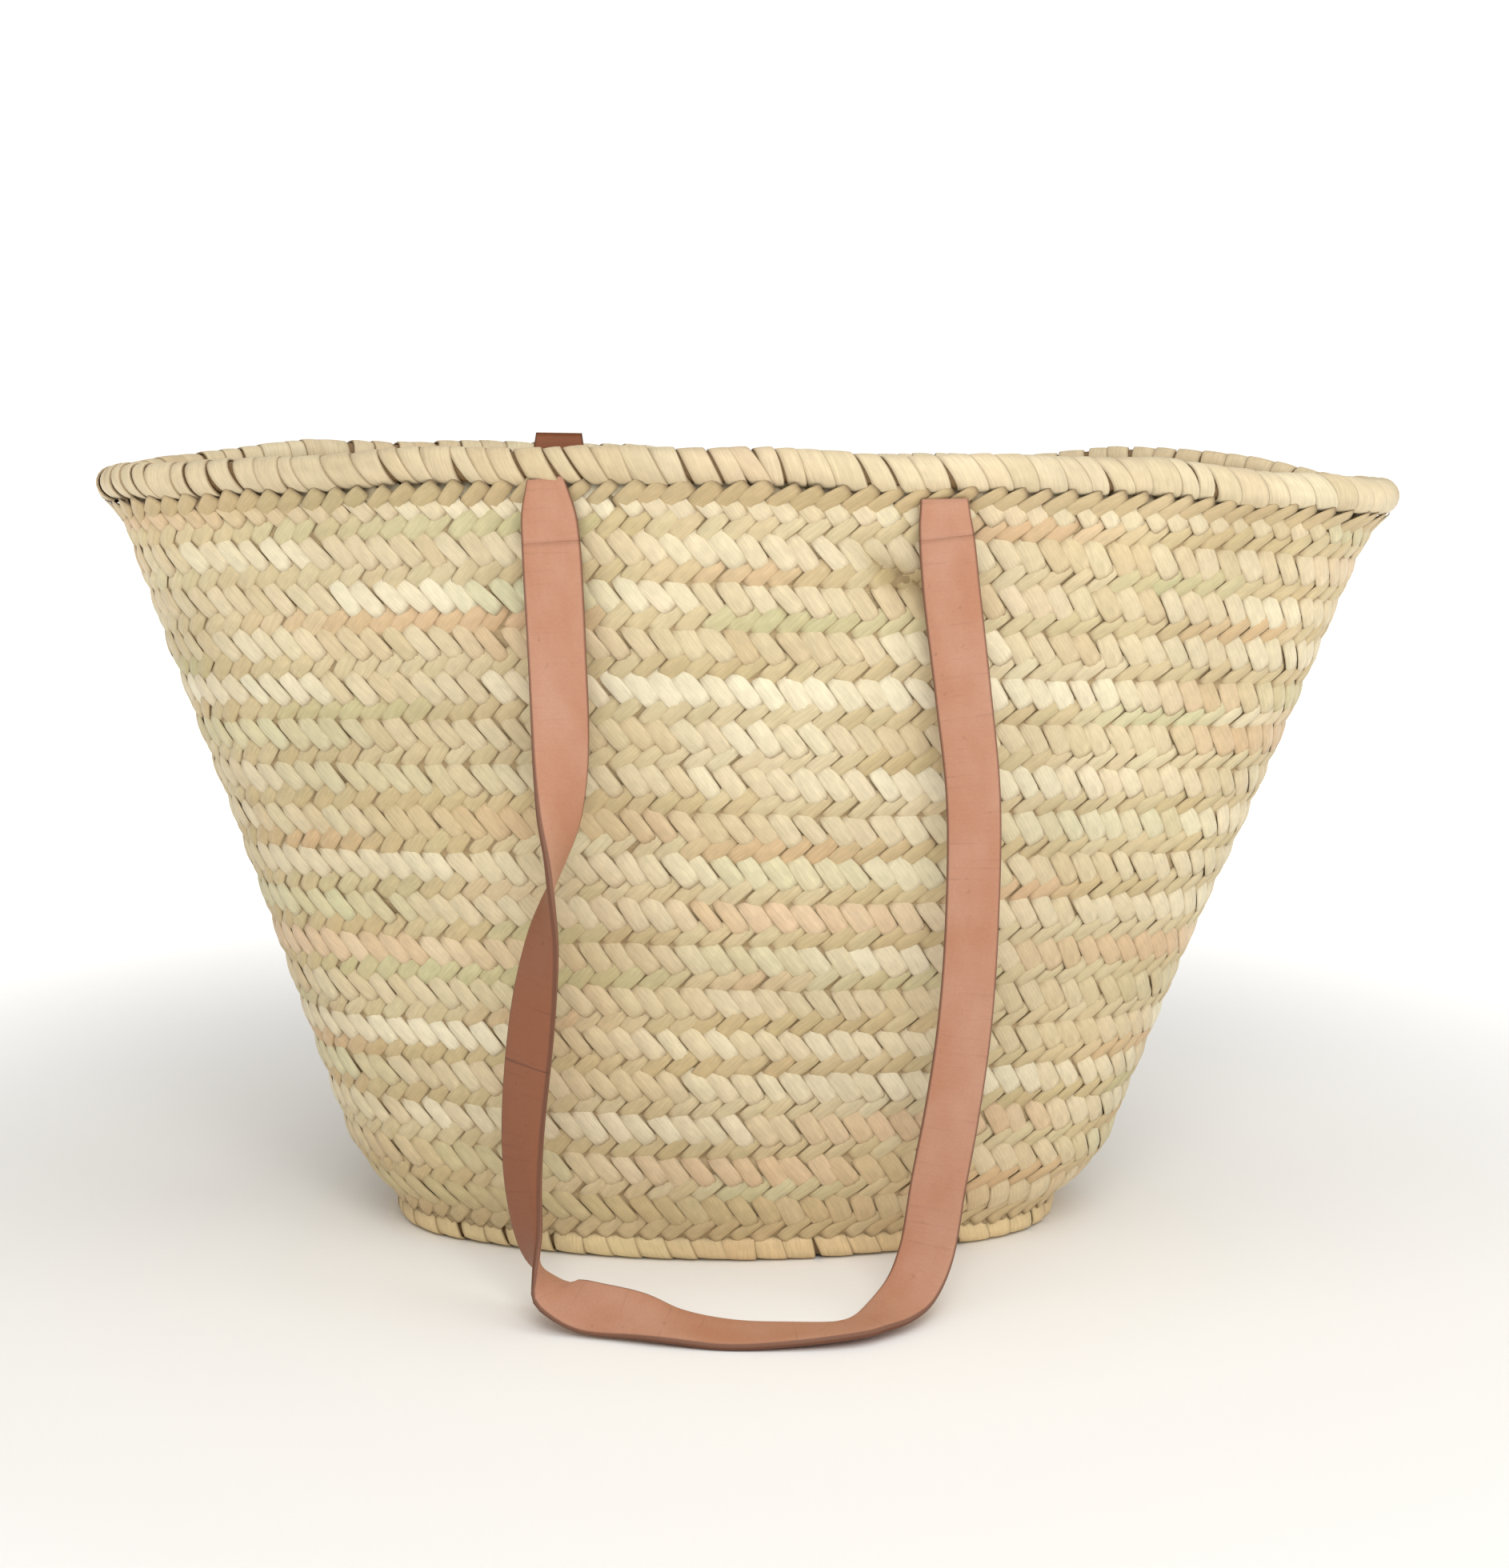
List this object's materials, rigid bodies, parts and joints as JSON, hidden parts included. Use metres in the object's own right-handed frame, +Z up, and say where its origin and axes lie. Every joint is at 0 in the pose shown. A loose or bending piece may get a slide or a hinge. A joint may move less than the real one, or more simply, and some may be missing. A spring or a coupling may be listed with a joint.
{
  "type": "woven market basket",
  "caption": "Oval flared market basket of plaited palm leaf with a wrapped rim, a wrapped foot and long flat leather carrying straps.",
  "frame": {"origin": "on the ground under the middle of the mouth, which is the middle of the whole object's box", "axes": "+Z up; X along the mouth, left to right seen from the front; -Y is the front"},
  "size_m": [0.52, 0.3098, 0.3175],
  "materials": {
    "palm_plait": "dry leaf, satin",
    "palm_cord": "matte",
    "leaf_core": "matte",
    "leaf_binding": "dry leaf, satin",
    "leather": "natural tan, matte to satin",
    "thread": "waxed"
  },
  "bodies": {
    "basket": {"wall_turn_01": "palm_plait", "wall_turn_02": "palm_plait", "wall_turn_03": "palm_plait", "wall_turn_04": "palm_plait", "wall_turn_05": "palm_plait", "wall_turn_06": "palm_plait", "wall_turn_07": "palm_plait", "wall_turn_08": "palm_plait", "wall_turn_09": "palm_plait", "wall_turn_10": "palm_plait", "wall_turn_11": "palm_plait", "wall_turn_12_left": "palm_plait", "wall_turn_12_right": "palm_plait", "wall_turn_13_left": "palm_plait", "wall_turn_13_right": "palm_plait", "wall_turn_14_left": "palm_plait", "wall_turn_14_right": "palm_plait", "wall_turn_15_left": "palm_plait", "wall_turn_15_right": "palm_plait", "wall_turn_16_left": "palm_plait", "wall_turn_16_right": "palm_plait", "wall_turn_17_left": "palm_plait", "wall_turn_17_right": "palm_plait", "base_centre_strip": "palm_plait", "base_turn_1": "palm_plait", "base_turn_2": "palm_plait", "base_turn_3": "palm_plait", "wall_seam_cord": "palm_cord", "base_seam_cord": "palm_cord", "rim_core": "leaf_core", "foot_core": "leaf_core", "rim_binding": "leaf_binding", "foot_binding": "leaf_binding", "front_left_tail": "leather", "front_right_tail": "leather", "front_tail_stitches": "thread", "back_left_tail": "leather", "back_right_tail": "leather", "back_tail_stitches": "thread"},
    "front_strap_necks": {"front_strap_necks": "leather"},
    "front_strap_loop": {"front_strap_loop": "leather"},
    "back_strap_necks": {"back_strap_necks": "leather"},
    "back_strap_loop": {"back_strap_loop": "leather"}
  },
  "joints": [
    {"name": "front_strap_swing", "type": "hinge", "parent": "basket", "child": "front_strap_necks", "pos_m": [0, -0.10887, 0.29111], "axis": [-1, 0, 0], "range_deg": [-5, 145]},
    {"name": "front_strap_bend", "type": "hinge", "parent": "front_strap_necks", "child": "front_strap_loop", "pos_m": [0, -0.10887, 0.26511], "axis": [-1, 0, 0], "range_deg": [0, 40]},
    {"name": "back_strap_swing", "type": "hinge", "parent": "basket", "child": "back_strap_necks", "pos_m": [0, 0.10887, 0.29111], "axis": [1, 0, 0], "range_deg": [-5, 145]},
    {"name": "back_strap_bend", "type": "hinge", "parent": "back_strap_necks", "child": "back_strap_loop", "pos_m": [0, 0.10887, 0.26511], "axis": [1, 0, 0], "range_deg": [0, 40]}
  ]
}
